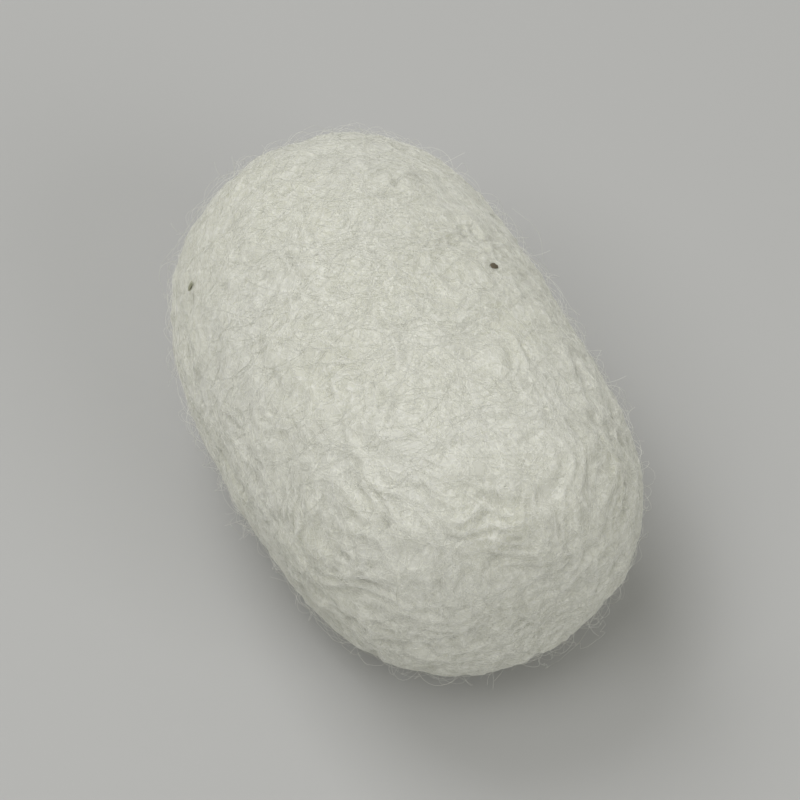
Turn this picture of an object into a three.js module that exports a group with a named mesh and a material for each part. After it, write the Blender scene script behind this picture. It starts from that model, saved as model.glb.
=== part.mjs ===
// A whole silk cocoon, lying on its side.
//
// Millimetres, +Z up. The cocoon's long axis lies along X, and its small flat resting spot is on the XY plane.
// The origin is under the middle of the cocoon, on that plane.

import * as THREE from "three";
import { ImprovedNoise } from "three/addons/math/ImprovedNoise.js";
import { mergeVertices } from "three/addons/utils/BufferGeometryUtils.js";

// Driving dimensions of the body, taken over the loose outer silk, which stands off the firm wall.
const LENGTH = 36.8; // end to end
const WIDTH = 24.2; // across, lying down
const HEIGHT = 22.9; // top to underside, before the resting spot is pressed flat
const FULLNESS = 3; // 2 is an ellipse, and more gives straighter sides and blunter ends
const END_TAPER = 0.01; // share by which the body is slimmer towards its -X end and stouter towards +X
const BOW = 0.68; // how far the middle is bowed out towards -Y, past a straight line between the ends
const REST_DEPTH = 0.5; // how far the underside is pressed in where it rests

// The silk's relief: broad lumps that part the body from a true oval, and the puckers and longer creases of the
// felted surface. The seed sets where each layer of noise is read, so that no two layers line up.
const LUMPS = { size: 9, height: 0.18, seed: 11.3 };
const PUCKERS = { size: 2.1, height: 0.17, seed: 5.7 };
const CREASES = { size: 3.6, height: 0.11, seed: 8.1 };
const PUCKER_GAIN = 2; // brings most bumps up to their full height
const PUCKER_MIDDLE = 0.5; // share of a bump that lies inside the smooth body

const FACET_ROWS = 20; // cuts along each edge of the icosahedron that the faceted body starts from
const MERGE_DISTANCE = 1e-5; // on the unit sphere, between corners that are one point

const noise = new ImprovedNoise();

// Smooth swellings and hollows, `height` above and below the body.
function swell(point, { size, height, seed }) {
  return height * noise.noise(point.x / size + seed, point.y / size + 2 * seed, point.z / size + 3 * seed);
}

// Rounded bumps parted by sharp creases, `height` from the creases to the tops of the bumps.
function pucker(point, { size, height, seed }) {
  const bump = Math.min(1, PUCKER_GAIN * Math.abs(swell(point, { size, height: 1, seed })));
  return height * (bump - PUCKER_MIDDLE);
}

// How far the silk stands out from the smooth oval body at a point, in millimetres.
function relief(point) {
  return swell(point, LUMPS) + pucker(point, PUCKERS) + pucker(point, CREASES);
}

// Moves a point of the unit sphere to the smooth straight oval, a superellipse turned about X.
function toOval(point) {
  const across = Math.hypot(point.y, point.z);
  const blunt = (Math.abs(point.x) ** FULLNESS + across ** FULLNESS) ** (-1 / FULLNESS);
  point.multiplyScalar(blunt);
  const stout = 1 + END_TAPER * point.x;
  return point.set((point.x * LENGTH) / 2, (point.y * stout * WIDTH) / 2, (point.z * stout * HEIGHT) / 2);
}

// The outward direction of the oval at a point. The slight taper of the ends is left out of it.
function outwardAt(point) {
  const [along, y, z] = [point.x / (LENGTH / 2), point.y / (WIDTH / 2), point.z / (HEIGHT / 2)];
  const endward = (Math.sign(along) * Math.abs(along) ** (FULLNESS - 1)) / LENGTH;
  const sideward = Math.hypot(y, z) ** (FULLNESS - 2);
  return new THREE.Vector3(endward, (sideward * y) / WIDTH, (sideward * z) / HEIGHT).normalize();
}

// How far the body is bowed towards -Y at a place along its length.
function bowAt(x) {
  return BOW * (1 - (x / (LENGTH / 2)) ** 2);
}

// The body with its relief, as one closed mesh with shared vertices.
function cocoonGeometry() {
  const sphere = new THREE.IcosahedronGeometry(1, FACET_ROWS);
  sphere.deleteAttribute("normal");
  sphere.deleteAttribute("uv");
  const geometry = mergeVertices(sphere, MERGE_DISTANCE);
  const positions = geometry.getAttribute("position");
  const point = new THREE.Vector3();
  for (let i = 0; i < positions.count; i++) {
    toOval(point.fromBufferAttribute(positions, i));
    point.addScaledVector(outwardAt(point), relief(point));
    positions.setXYZ(i, point.x, point.y - bowAt(point.x), point.z);
  }
  geometry.computeBoundingBox();
  const { min, max } = geometry.boundingBox;
  geometry.translate(-(min.x + max.x) / 2, -(min.y + max.y) / 2, -min.z - REST_DEPTH);
  for (let i = 0; i < positions.count; i++) {
    positions.setZ(i, Math.max(0, positions.getZ(i)));
  }
  geometry.computeVertexNormals();
  return geometry;
}

// Raw white silk: off-white, faintly cream, with a dull sheen.
function silkMaterial() {
  return new THREE.MeshStandardMaterial({ name: "silk", color: 0xdcdcd2, roughness: 0.75, metalness: 0 });
}

function makeCocoon() {
  const cocoon = new THREE.Mesh(cocoonGeometry(), silkMaterial());
  cocoon.name = "cocoon";
  return cocoon;
}

const root = new THREE.Group();
root.name = "silk_cocoon";
root.add(makeCocoon());

export default root;
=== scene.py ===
import math
import random

import bmesh
import bpy
from mathutils import Matrix, Vector, noise
from mathutils.bvhtree import BVHTree


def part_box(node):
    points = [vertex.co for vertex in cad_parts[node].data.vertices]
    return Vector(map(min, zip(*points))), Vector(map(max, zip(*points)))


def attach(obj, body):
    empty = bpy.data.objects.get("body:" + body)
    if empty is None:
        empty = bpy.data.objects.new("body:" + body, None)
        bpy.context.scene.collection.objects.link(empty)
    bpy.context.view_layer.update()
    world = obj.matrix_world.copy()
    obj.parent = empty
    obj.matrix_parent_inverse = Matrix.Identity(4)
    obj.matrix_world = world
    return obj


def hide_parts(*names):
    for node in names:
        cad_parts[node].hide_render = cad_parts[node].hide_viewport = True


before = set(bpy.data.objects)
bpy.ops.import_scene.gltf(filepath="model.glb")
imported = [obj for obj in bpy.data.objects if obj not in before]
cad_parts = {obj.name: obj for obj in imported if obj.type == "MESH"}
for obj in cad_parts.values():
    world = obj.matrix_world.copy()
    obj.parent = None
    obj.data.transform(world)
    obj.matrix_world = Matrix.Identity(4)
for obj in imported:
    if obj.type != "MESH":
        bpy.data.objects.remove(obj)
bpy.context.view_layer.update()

# A silk cocoon lying on its side. Everything is in metres, and sizes are given in millimetres.
mm = 0.001
scene = bpy.context.scene

# The solid takes in most of the loose outer silk. The firm wall lies inside it and rests on the same spot.
solidLow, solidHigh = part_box("cocoon")
solidSize = solidHigh - solidLow
looseSilk = Vector((1.8, 1.8, 0.9)) * mm  # of the solid: at both ends, both sides and the top
wallSize = solidSize - looseSilk
wallMiddle = Vector((0, 0, wallSize.z / 2))


def directionTo(azimuth, elevation):
    # the way from the cocoon to a camera or lamp; at azimuth 0 it stands in front, on the -Y side
    a, e = math.radians(azimuth), math.radians(elevation)
    return Vector((math.sin(a) * math.cos(e), -math.cos(a) * math.cos(e), math.sin(e)))


def placeFacing(obj, target, azimuth, elevation, distance):
    away = directionTo(azimuth, elevation)
    obj.location = target + away * distance
    obj.rotation_euler = away.to_track_quat("Z", "Y").to_euler()
    scene.collection.objects.link(obj)


def addPiece(name, mesh, finish):
    piece = bpy.data.objects.new(name, mesh)
    mesh.materials.append(finish)
    scene.collection.objects.link(piece)
    return piece


def dressed(piece):
    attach(piece, "root")
    triangles = sum(len(face.vertices) - 2 for face in piece.data.polygons)
    print(f"made {piece.name}: {triangles} triangles")


# The camera looks down on the cocoon's +X end.
cameraSettings = {
    "azimuth": 65,
    "elevation": 51,
    "lens": 200,  # mm, on a 36 mm sensor
    "sensor": 36,
    "across": 47.8 * mm,  # width of what the picture takes in at the cocoon
    "aim": Vector((0.25, 0.16, -0.12)) * mm,  # what it looks at, from the wall's middle
    "nearest": 10 * mm,
}


def makeCamera(s):
    data = bpy.data.cameras.new("camera")
    data.lens = s["lens"]
    data.sensor_width = s["sensor"]
    data.clip_start = s["nearest"]
    camera = bpy.data.objects.new("camera", data)
    distance = s["across"] * s["lens"] / s["sensor"]
    placeFacing(camera, wallMiddle + s["aim"], s["azimuth"], s["elevation"], distance)
    scene.camera = camera
    print("camera placed")


makeCamera(cameraSettings)


class Value:
    # a socket that Python sums can be done with: each sum adds a Math node
    def __init__(self, finish, socket):
        self.finish = finish
        self.socket = socket

    def sum(self, operation, first, second=0.0):
        return self.finish.node("ShaderNodeMath", {"operation": operation}, {0: first, 1: second})

    def __add__(self, other):
        return self.sum("ADD", self, other)

    def __radd__(self, other):
        return self.sum("ADD", other, self)

    def __sub__(self, other):
        return self.sum("SUBTRACT", self, other)

    def __rsub__(self, other):
        return self.sum("SUBTRACT", other, self)

    def __mul__(self, other):
        return self.sum("MULTIPLY", self, other)

    def __rmul__(self, other):
        return self.sum("MULTIPLY", other, self)

    def __abs__(self):
        return self.sum("ABSOLUTE", self)


class Finish:
    # a material being put together, with its Principled shader made from plain numbers
    def __init__(self, name, shaderValues):
        self.material = bpy.data.materials.new(name)
        self.material.use_nodes = True
        self.tree = self.material.node_tree
        self.shader = self.tree.nodes["Principled BSDF"]
        for socket, value in shaderValues.items():
            self.shader.inputs[socket].default_value = value

    def node(self, kind, settings=None, inputs=None, output=0):
        made = self.tree.nodes.new(kind)
        for key, value in (settings or {}).items():
            setattr(made, key, value)
        for socket, value in (inputs or {}).items():
            self.feed(made.inputs[socket], value)
        return Value(self, made.outputs[output])

    def feed(self, socket, value):
        if isinstance(value, Value):
            self.tree.links.new(value.socket, socket)
        else:
            socket.default_value = value

    def blend(self, share, first, second):
        # share of the second colour over the first
        colours = {0: share, 6: first, 7: second}
        return self.node("ShaderNodeMix", {"data_type": "RGBA"}, colours, output=2)

    def noiseAt(self, place, scale, detail):
        return self.node("ShaderNodeTexNoise", None, {"Vector": place, "Scale": scale, "Detail": detail})

    def give(self, socket, value):
        self.feed(self.shader.inputs[socket], value)


silkWallFinish = {
    # white and cream are the mottled ground between the raised fibre lines. They are darker than the lines
    # as painted shade in the hollows; the fibre colour is lighter, partly the silk's own tone and partly
    # painted highlight on the raised lines
    "white": (0.75, 0.75, 0.68, 1),
    "cream": (0.72, 0.72, 0.62, 1),
    "litFibre": (0.86, 0.86, 0.78, 1),
    "mottleScale": 160,  # per metre: patches about 6 mm across
    "mottleDetail": 3,
    "mottleFrom": 0.38,
    "mottleTo": 0.66,
    "fibreScales": (700, 820, 940, 1080, 1240),  # per metre: curling lines about 0.5 mm apart
    "fibreDetail": 1,
    "fibrePath": 0.5,  # the value of a noise that a line follows, which is its middle value
    "fibreWidth": 0.022,
    "roughness": 0.58,
    "roughnessSpread": 0.12,
    "bumpStrength": 0.8,
    "bumpDistance": 0.02 * mm,
    "shader": {
        "Subsurface Weight": 0.2,
        "Subsurface Radius": (1.0, 1.0, 0.85),
        "Subsurface Scale": 0.9 * mm,
        "Sheen Weight": 0.15,
        "Sheen Roughness": 0.4,
        "Specular IOR Level": 0.35,
    },
}


def makeSilkWallFinish(s):
    finish = Finish("silkWall", s["shader"])
    place = finish.node("ShaderNodeTexCoord", output="Object")
    mottle = finish.noiseAt(place, s["mottleScale"], s["mottleDetail"])
    span = {"Value": mottle, "From Min": s["mottleFrom"], "From Max": s["mottleTo"]}
    patches = finish.node("ShaderNodeMapRange", None, span)
    fibres = 0
    for scale in s["fibreScales"]:
        # the places where a noise passes one value are thin curling lines, like matted thread
        curls = finish.noiseAt(place, scale, s["fibreDetail"])
        line = {"Value": abs(curls - s["fibrePath"]), "From Max": s["fibreWidth"], "To Min": 1, "To Max": 0}
        fibres = fibres + finish.node("ShaderNodeMapRange", None, line)
    # the base colour is lighter on the raised fibre lines and darker in the hollows between them: painted
    # highlight and painted shade that follow the bump, over the white-to-cream mottle of the silk's own
    # tone
    mottleAndHollowShade = finish.blend(patches, s["white"], s["cream"])
    finish.give("Base Color", finish.blend(fibres, mottleAndHollowShade, s["litFibre"]))
    finish.give("Roughness", s["roughness"] + s["roughnessSpread"] * fibres)
    bump = {"Height": fibres, "Strength": s["bumpStrength"], "Distance": s["bumpDistance"]}
    finish.give("Normal", finish.node("ShaderNodeBump", None, bump))
    return finish.material


# The cocoon's wall is the solid's own form, drawn in and made finer, with the wrinkles of dried silk.
wallSettings = {
    "weld": 0.001 * mm,
    "cuts": 3,
    "smoothing": 10,
    "smoothingShare": 0.5,
    "ways": ((0.4, 0.9, 0), (-0.7, 0.3, 0.6), (1, 0, 0), (-0.4, 0.2, 1)),  # that the wrinkles lie
    "patch": 5 * mm,  # about how far they keep to one way
    "patchContrast": 6,
    "stretch": 3.2,  # a wrinkle's length over its width
    "wrinkles": {"width": 0.85 * mm, "height": 0.21 * mm},
    "folds": {"width": 2.3 * mm, "height": 0.22 * mm},  # broader and softer, under the wrinkles
    "crest": 0.5,  # how far a ridge stands out of the smooth wall, as a share of its height
    "fall": 2,  # how steeply it falls away from its crest
    "deeper": 0.35,  # share by which all are higher at the +X end, and lower at the other
    "seed": 1.9,
    "seatStep": Vector((1, 2, 3)),  # from where one noise is read to where the next one is
    "swirl": 0.8 * mm,  # how far the wrinkles are carried off their ways
    "swirlSize": 2.5 * mm,
    "swirlSeats": ((9.3, -1.5, -7.9), (0.4, 3.2, 5.1), (6.3, 0.2, -2.7)),  # one for each axis
}


def swirled(point, s):
    place = point / s["swirlSize"]
    return point + Vector([noise.noise(place + Vector(seat)) for seat in s["swirlSeats"]]) * s["swirl"]


def relief(point, s):
    # there is a ridge where a noise, drawn out along the way of the patch, passes its middle value
    place = swirled(point, s)
    total = 0
    shares = 0
    for number, way in enumerate(s["ways"]):
        seat = s["seatStep"] * (s["seed"] + number)
        along = Vector(way).normalized()
        drawn = place - along * along.dot(place) * (1 - 1 / s["stretch"])
        share = (1 + noise.noise(point / s["patch"] + seat)) ** s["patchContrast"]
        for ridges in (s["wrinkles"], s["folds"]):
            ridge = s["crest"] - s["fall"] * abs(noise.noise(drawn / ridges["width"] + seat))
            total += share * ridges["height"] * ridge
        shares += share
    return (1 + s["deeper"] * point.x / (wallSize.x / 2)) * total / shares


def makeWall(s):
    bm = bmesh.new()
    bm.from_mesh(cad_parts["cocoon"].data)
    bmesh.ops.remove_doubles(bm, verts=bm.verts, dist=s["weld"])
    shares = [wall / solid for wall, solid in zip(wallSize, solidSize)]
    bmesh.ops.scale(bm, vec=shares, verts=bm.verts)
    bmesh.ops.subdivide_edges(bm, edges=bm.edges, cuts=s["cuts"], use_grid_fill=True)
    allWays = {"use_axis_x": True, "use_axis_y": True, "use_axis_z": True}
    for _ in range(s["smoothing"]):
        bmesh.ops.smooth_vert(bm, verts=bm.verts, factor=s["smoothingShare"], **allWays)
    bm.normal_update()
    for vert in bm.verts:
        vert.co += vert.normal * relief(vert.co, s)
    for vert in bm.verts:
        vert.co.z = max(vert.co.z, 0)  # pressed flat where it rests
    bm.normal_update()
    mesh = bpy.data.meshes.new("cocoon_wall")
    bm.to_mesh(mesh)
    surface = BVHTree.FromBMesh(bm)
    bm.free()
    mesh.shade_smooth()
    wall = addPiece("cocoon_wall", mesh, makeSilkWallFinish(silkWallFinish))
    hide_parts("cocoon")
    dressed(wall)
    return surface


wallSurface = makeWall(wallSettings)


silkThreadFinish = {
    "bright": (0.96, 0.96, 0.89, 1),
    "dull": (0.92, 0.92, 0.84, 1),
    "tintScale": 40,  # along each thread
    "tintDetail": 2,
    "shader": {"Roughness": 0.5, "Sheen Weight": 0.4, "Specular IOR Level": 0.4},
}


def makeSilkThreadFinish(s):
    finish = Finish("silkThread", s["shader"])
    along = finish.node("ShaderNodeUVMap", {"uv_map": "OFBake"})
    tint = finish.noiseAt(along, s["tintScale"], s["tintDetail"])
    finish.give("Base Color", finish.blend(tint, s["bright"], s["dull"]))
    return finish.material


threadCorners = 3  # of the threads' section


def threadProfile():
    # the section, one metre in radius; it runs clockwise, so that a tube's faces point outwards
    data = bpy.data.curves.new("threadProfile", "CURVE")
    data.dimensions = "2D"
    spline = data.splines.new("POLY")
    spline.points.add(threadCorners - 1)
    for corner, point in enumerate(spline.points):
        turn = -2 * math.pi * corner / threadCorners
        point.co = (math.cos(turn), math.sin(turn), 0, 1)
    spline.use_cyclic_u = True
    return bpy.data.objects.new("threadProfile", data)


def tubesAlong(name, strands):
    # strands is a list of (points, radius); gives one mesh of closed tubes
    profile = threadProfile()
    data = bpy.data.curves.new(name, "CURVE")
    data.dimensions = "3D"
    data.bevel_mode = "OBJECT"
    data.bevel_object = profile
    data.use_fill_caps = True
    for points, radius in strands:
        spline = data.splines.new("POLY")
        spline.points.add(len(points) - 1)
        spline.points.foreach_set("co", [number for point in points for number in (*point, 1)])
        spline.points.foreach_set("radius", [radius] * len(points))
    curve = bpy.data.objects.new(name, data)
    scene.collection.objects.link(curve)
    depsgraph = bpy.context.evaluated_depsgraph_get()
    mesh = bpy.data.meshes.new_from_object(curve.evaluated_get(depsgraph))
    bpy.data.objects.remove(curve)
    bpy.data.objects.remove(profile)
    mesh.name = name
    mesh.uv_layers[0].name = "OFBake"  # runs along each tube
    mesh.shade_smooth()
    return mesh


def onSurface(point):
    hit, normal, _, _ = wallSurface.find_nearest(point)
    return hit, normal


def randomWay(dice):
    return Vector((dice.gauss(0, 1), dice.gauss(0, 1), dice.gauss(0, 1))).normalized()


def randomSeat(dice):
    # a starting point anywhere on the wall, its normal, and a way to set off along the wall
    place, normal = onSurface(wallMiddle + randomWay(dice) * wallSize / 2)
    return place, normal, normal.cross(randomWay(dice)).normalized()


def walk(place, normal, way, turn, step):
    # one step along the wall, after a turn to the side
    way = (way - normal * way.dot(normal)).normalized()
    way.rotate(Matrix.Rotation(turn, 3, normal))
    place, normal = onSurface(place + way * step)
    return place, normal, way


def eased(points):
    # each point between the two ends goes part of the way to its neighbours' middle, which rounds off kinks
    return [(a + 2 * b + c) / 4 for a, b, c in zip(points, points[1:], points[2:])]


def strand(points, radius):
    # keeps a thread above what the cocoon lies on
    for point in points:
        point.z = max(point.z, radius)
    return points, radius


def thickness(s, dice):
    return s["radius"] * dice.uniform(1 - s["radiusSpread"], 1 + s["radiusSpread"])


threadSettings = {
    "layers": 4,
    "strands": 32,  # in each layer
    "length": 280 * mm,
    "step": 0.32 * mm,
    "radius": 0.012 * mm,
    "radiusSpread": 0.25,
    "swing": 2.25,  # radians: how far each figure of eight swings either way
    "swingLength": 32 * mm,  # of thread in one figure of eight
    "drift": 0.07,  # radians of wander at each step
    "lowest": 0.006 * mm,
    "highest": 0.03 * mm,
    "slackHeight": 0.03 * mm,  # more height, where a thread lies slack
    "slackLength": 4 * mm,
}


# How far one laid thread differs from another.
layingSettings = {
    "paceSpread": (0.75, 1.3),  # of the length of a figure of eight
    "swingSpread": (0.85, 1.1),
    "slackSeats": 100,  # how far apart the noises for their slack are read, at most
}


def layThread(s, dice, height):
    # the silkworm's head swings from side to side, so the thread lies in figures of eight
    place, normal, way = randomSeat(dice)
    phase = dice.uniform(0, 2 * math.pi)
    pace = 2 * math.pi / (s["swingLength"] * dice.uniform(*layingSettings["paceSpread"]))
    swing = s["swing"] * dice.uniform(*layingSettings["swingSpread"])
    course = []
    for number in range(int(s["length"] / s["step"])):
        travelled = number * s["step"]
        turn = swing * pace * math.cos(phase + pace * travelled) * s["step"] + dice.gauss(0, s["drift"])
        place, normal, way = walk(place, normal, way, turn, s["step"])
        course.append(place)
    slackSeat = dice.uniform(0, layingSettings["slackSeats"])
    points = []
    for number, point in enumerate(eased(course)):
        place, normal = onSurface(point)
        slack = max(0, noise.noise(Vector((number * s["step"] / s["slackLength"], slackSeat, 0))))
        points.append(place + normal * (height + slack * s["slackHeight"]))
    return points


def addThreads(name, strands, finish):
    dressed(addPiece(name, tubesAlong(name, strands), finish))


def makeThreads(s, finish):
    for layer in range(s["layers"]):
        dice = random.Random(layer + 1)
        height = s["lowest"] + (s["highest"] - s["lowest"]) * layer / (s["layers"] - 1)
        strands = [strand(layThread(s, dice, height), thickness(s, dice)) for _ in range(s["strands"])]
        addThreads(f"silk_threads_{layer + 1}", strands, finish)


threadFinish = makeSilkThreadFinish(silkThreadFinish)
makeThreads(threadSettings, threadFinish)


# The floss is the loose outer silk: slack threads, small bows that leave the wall and come back, and
# free ends.
flossSettings = {
    "seed": 21,
    "radius": 0.007 * mm,
    "radiusSpread": 0.3,
    "slackThreads": 12,
    "bows": 3000,
    "freeEnds": 500,
    "length": 90 * mm,  # these are for the slack threads
    "step": 0.45 * mm,
    "swing": 1.7,
    "swingLength": 26 * mm,
    "drift": 0.14,
    "height": 0.05 * mm,
    "slackHeight": 2.2 * mm,
    "slackLength": 6 * mm,
    "bowSteps": 8,
    "bowStep": 0.32 * mm,
    "bowStepSpread": (0.5, 1.5),
    "bowTurn": 0.25,  # radians at each step
    "bowHeight": 0.9 * mm,
    "bowLowness": 2,  # a higher power makes more of the bows low
    "bowCrimp": 0.05 * mm,
    "endSteps": 8,
    "endStep": 0.22 * mm,
    "endLift": 0.55,  # how steeply a free end leaves the wall
    "endLiftSpread": (0.2, 2),
    "endCurl": 0.38,  # radians at each step
    "endCurlSpread": (0.2, 1),
}


def growBow(s, dice):
    place, normal, way = randomSeat(dice)
    step = s["bowStep"] * dice.uniform(*s["bowStepSpread"])
    turn = dice.gauss(0, s["bowTurn"])
    height = s["bowHeight"] * dice.random() ** s["bowLowness"]
    points = [place]
    for number in range(1, s["bowSteps"] + 1):
        place, normal, way = walk(place, normal, way, turn, step)
        rise = height * math.sin(math.pi * number / s["bowSteps"])
        points.append(place + normal * rise + randomWay(dice) * s["bowCrimp"])
    return [points[0], *eased(points), points[-1]]


def growEnd(s, dice):
    place, normal, way = randomSeat(dice)
    way = (way + normal * dice.uniform(*s["endLiftSpread"]) * s["endLift"]).normalized()
    curl = Matrix.Rotation(s["endCurl"] * dice.uniform(*s["endCurlSpread"]), 3, randomWay(dice))
    points = [place]
    for _ in range(dice.randint(s["endSteps"] // 2, s["endSteps"])):
        way.rotate(curl)
        points.append(points[-1] + way * s["endStep"])
    return points


def makeFloss(s, finish):
    dice = random.Random(s["seed"])
    lines = [layThread(s, dice, s["height"]) for _ in range(s["slackThreads"])]
    lines += [growBow(s, dice) for _ in range(s["bows"])]
    lines += [growEnd(s, dice) for _ in range(s["freeEnds"])]
    addThreads("loose_floss", [strand(points, thickness(s, dice)) for points in lines], finish)


makeFloss(flossSettings, threadFinish)


# Two specks of dirt are caught in the silk, the second one paler.
speckSettings = {
    "specks": {
        "dirt_speck_1": {
            "place": Vector((0.0, 6.3, 19.6)) * mm,
            "size": Vector((0.62, 0.44, 0.2)) * mm,
            "turn": 20,
            "dark": (0.09, 0.075, 0.05, 1),
            "light": (0.2, 0.17, 0.12, 1),
        },
        "dirt_speck_2": {
            "place": Vector((-9.6, -9.0, 15.3)) * mm,
            "size": Vector((1.1, 0.3, 0.16)) * mm,
            "turn": 165,
            "dark": (0.36, 0.37, 0.26, 1),
            "light": (0.5, 0.5, 0.38, 1),
        },
    },
    "roundness": 3,  # rounds of subdivision
    "crumbleSize": 0.12 * mm,
    "crumble": 0.3,  # share of its size
    "lift": 0.1 * mm,  # out of the wall, among the threads
    "toneScale": 9000,  # per metre
    "toneDetail": 3,
    "shader": {"Roughness": 0.85, "Specular IOR Level": 0.3},
}


def makeSpeckFinish(name, s, speck):
    finish = Finish(name, s["shader"])
    place = finish.node("ShaderNodeTexCoord", output="Object")
    tone = finish.noiseAt(place, s["toneScale"], s["toneDetail"])
    finish.give("Base Color", finish.blend(tone, speck["dark"], speck["light"]))
    return finish.material


def makeSpeck(name, s, speck):
    bm = bmesh.new()
    bmesh.ops.create_icosphere(bm, subdivisions=s["roundness"], radius=0.5)  # one metre across
    place, normal = onSurface(speck["place"])
    seat = normal.to_track_quat("Z", "X").to_matrix()
    turn = Matrix.Rotation(math.radians(speck["turn"]), 3, "Z")
    size = Matrix.Diagonal(speck["size"])
    bmesh.ops.transform(bm, matrix=(seat @ turn @ size).to_4x4(), verts=bm.verts)
    for vert in bm.verts:
        vert.co *= 1 + s["crumble"] * noise.noise(vert.co / s["crumbleSize"])
    bmesh.ops.translate(bm, vec=place + normal * s["lift"], verts=bm.verts)
    bm.normal_update()
    mesh = bpy.data.meshes.new(name)
    bm.to_mesh(mesh)
    bm.free()
    mesh.shade_smooth()
    dressed(addPiece(name, mesh, makeSpeckFinish(name, s, speck)))


for name, speck in speckSettings["specks"].items():
    makeSpeck(name, speckSettings, speck)


studioSettings = {
    "floorSize": 4,
    "floorColour": (0.53, 0.53, 0.52, 1),
    "floorRoughness": 0.9,
    "world": (1, 1, 0.92, 1),
    "worldStrength": 0.31,
    "lampColour": (0.98, 0.98, 1),
    "lampSize": 0.28,
    "lampDistance": 0.5,
    "lamps": {
        "left": {"azimuth": 20, "elevation": 60, "power": 0.6},
        "right": {"azimuth": 110, "elevation": 30, "power": 0.52},
        "back": {"azimuth": 290, "elevation": 60, "power": 0.86},
    },
}


def makeStudio(s):
    bm = bmesh.new()
    bmesh.ops.create_grid(bm, x_segments=1, y_segments=1, size=s["floorSize"] / 2)
    mesh = bpy.data.meshes.new("floor")
    bm.to_mesh(mesh)
    bm.free()
    finish = Finish("paleFloor", {"Base Color": s["floorColour"], "Roughness": s["floorRoughness"]})
    addPiece("floor", mesh, finish.material)
    for name, lamp in s["lamps"].items():
        data = bpy.data.lights.new(name, "AREA")
        data.size = s["lampSize"]
        data.color = s["lampColour"]
        data.energy = lamp["power"]
        light = bpy.data.objects.new(name, data)
        placeFacing(light, wallMiddle, lamp["azimuth"], lamp["elevation"], s["lampDistance"])
    world = bpy.data.worlds.new("studio")
    world.use_nodes = True
    background = world.node_tree.nodes["Background"]
    background.inputs["Color"].default_value = s["world"]
    background.inputs["Strength"].default_value = s["worldStrength"]
    scene.world = world
    scene.view_settings.view_transform = "Standard"
    print("studio set up")


makeStudio(studioSettings)

print("done")
